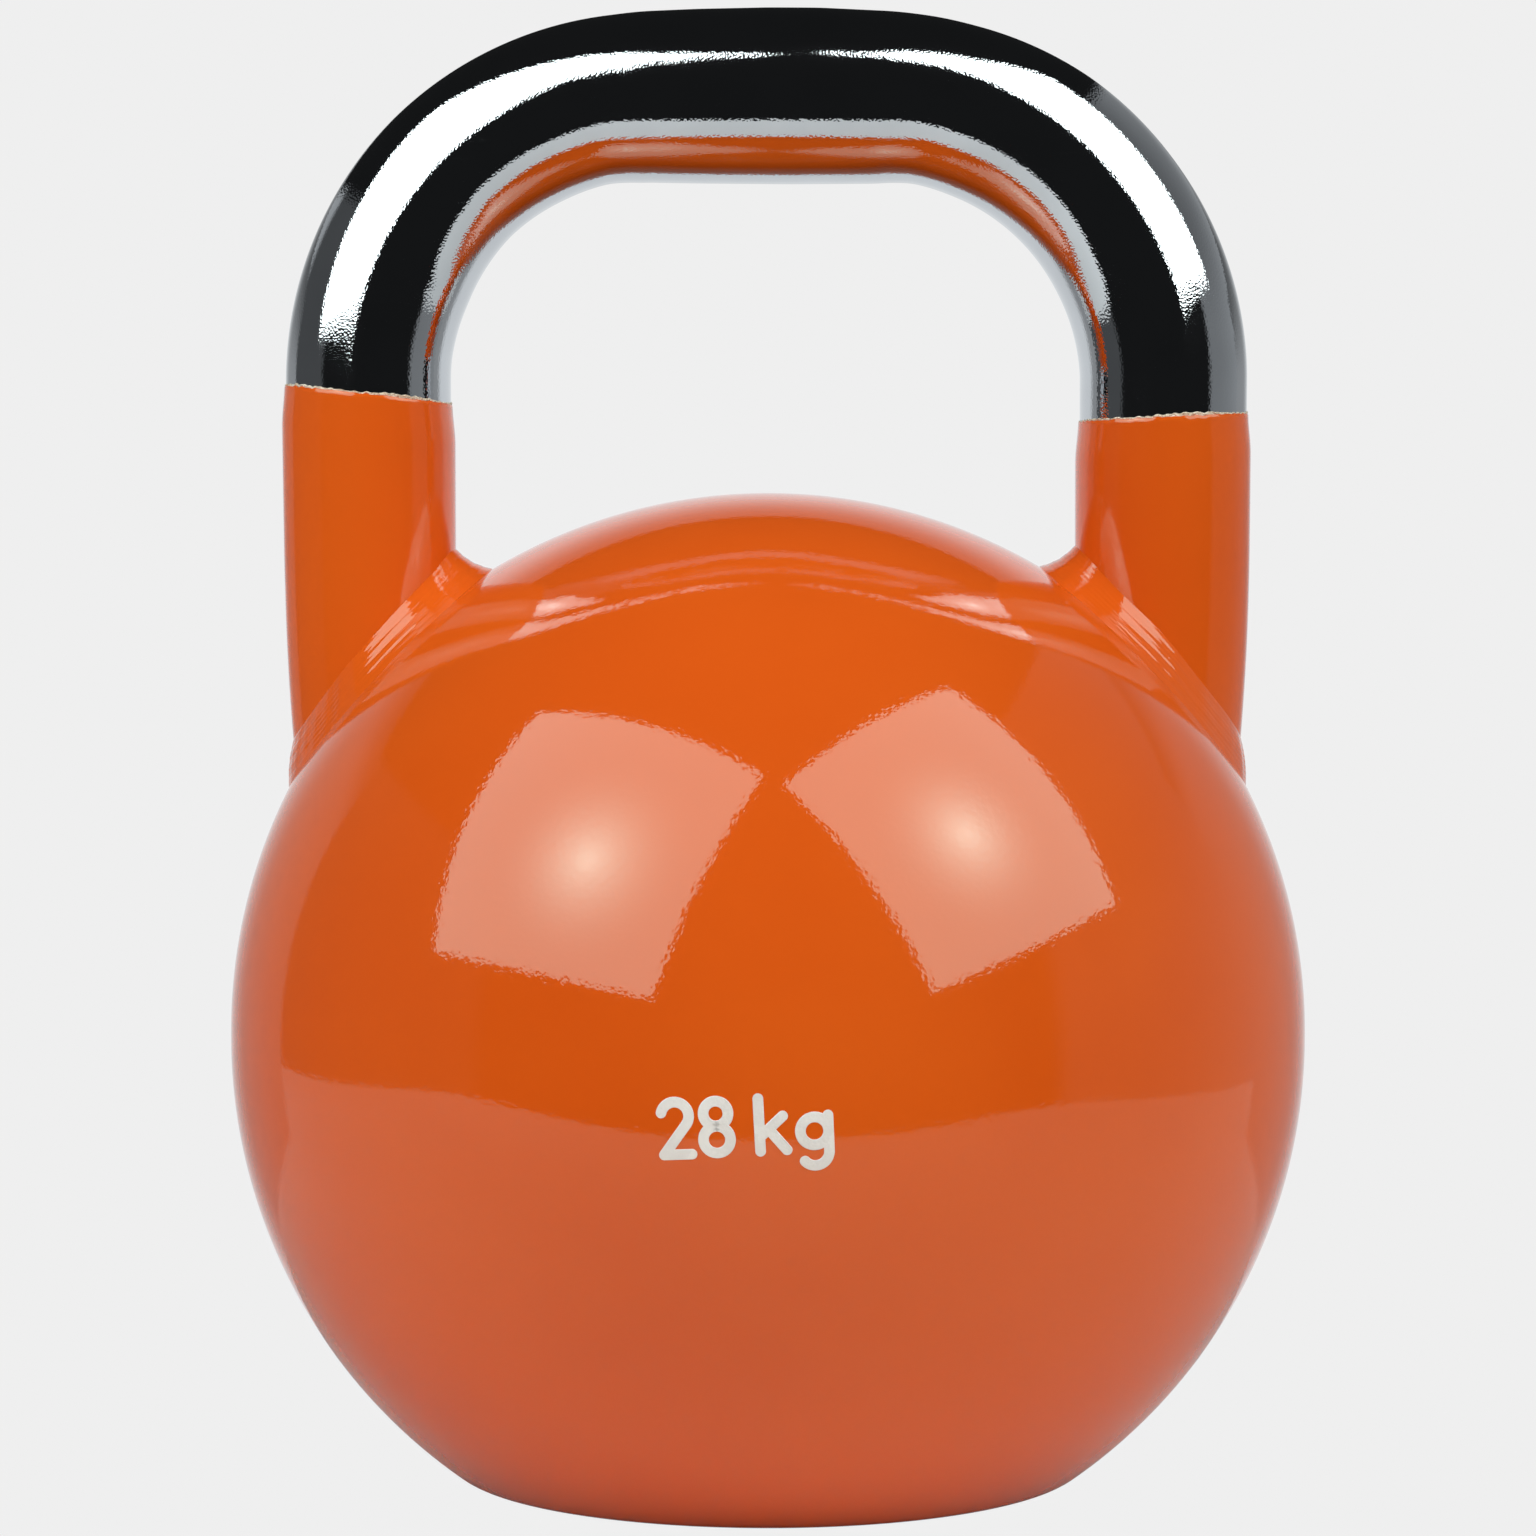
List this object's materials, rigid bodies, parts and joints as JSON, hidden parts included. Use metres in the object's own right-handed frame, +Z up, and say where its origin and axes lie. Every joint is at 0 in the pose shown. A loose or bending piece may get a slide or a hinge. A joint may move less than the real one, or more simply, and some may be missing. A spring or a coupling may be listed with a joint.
{
  "type": "kettlebell",
  "caption": "Round steel kettlebell of the competition pattern: a painted hollow ball with a flat base, weighted with shot, and a bent chromed tube handle.",
  "frame": {"origin": "the middle of the flat base, on the surface that the kettlebell stands on", "axes": "+Z up, +X along the handle's grip, the front with the weight mark faces -Y"},
  "size_m": [0.21, 0.21, 0.2868],
  "materials": {
    "orange_paint": "gloss",
    "chrome_plate": "polished",
    "mill_steel": "satin",
    "zinc_plate": "satin",
    "seal_rubber": "matte",
    "shot_in_resin": "matte",
    "foam": "matte",
    "white_print": "satin",
    "filler_paste": "matte"
  },
  "bodies": {
    "root": {"lower_shell": "orange_paint", "upper_shell": "orange_paint", "seam_weld": "orange_paint", "left_leg_weld": "orange_paint", "right_leg_weld": "orange_paint", "left_leg_coat": "orange_paint", "right_leg_coat": "orange_paint", "handle_tube": "chrome_plate", "seam_backing_ring": "mill_steel", "boss_inner_weld": "mill_steel", "filler_boss": "orange_paint", "boss_face_weld": "orange_paint", "filler_plug": "zinc_plate", "plug_seal": "seal_rubber", "ballast_charge": "shot_in_resin", "charge_pad": "foam"}
  },
  "joints": []
}
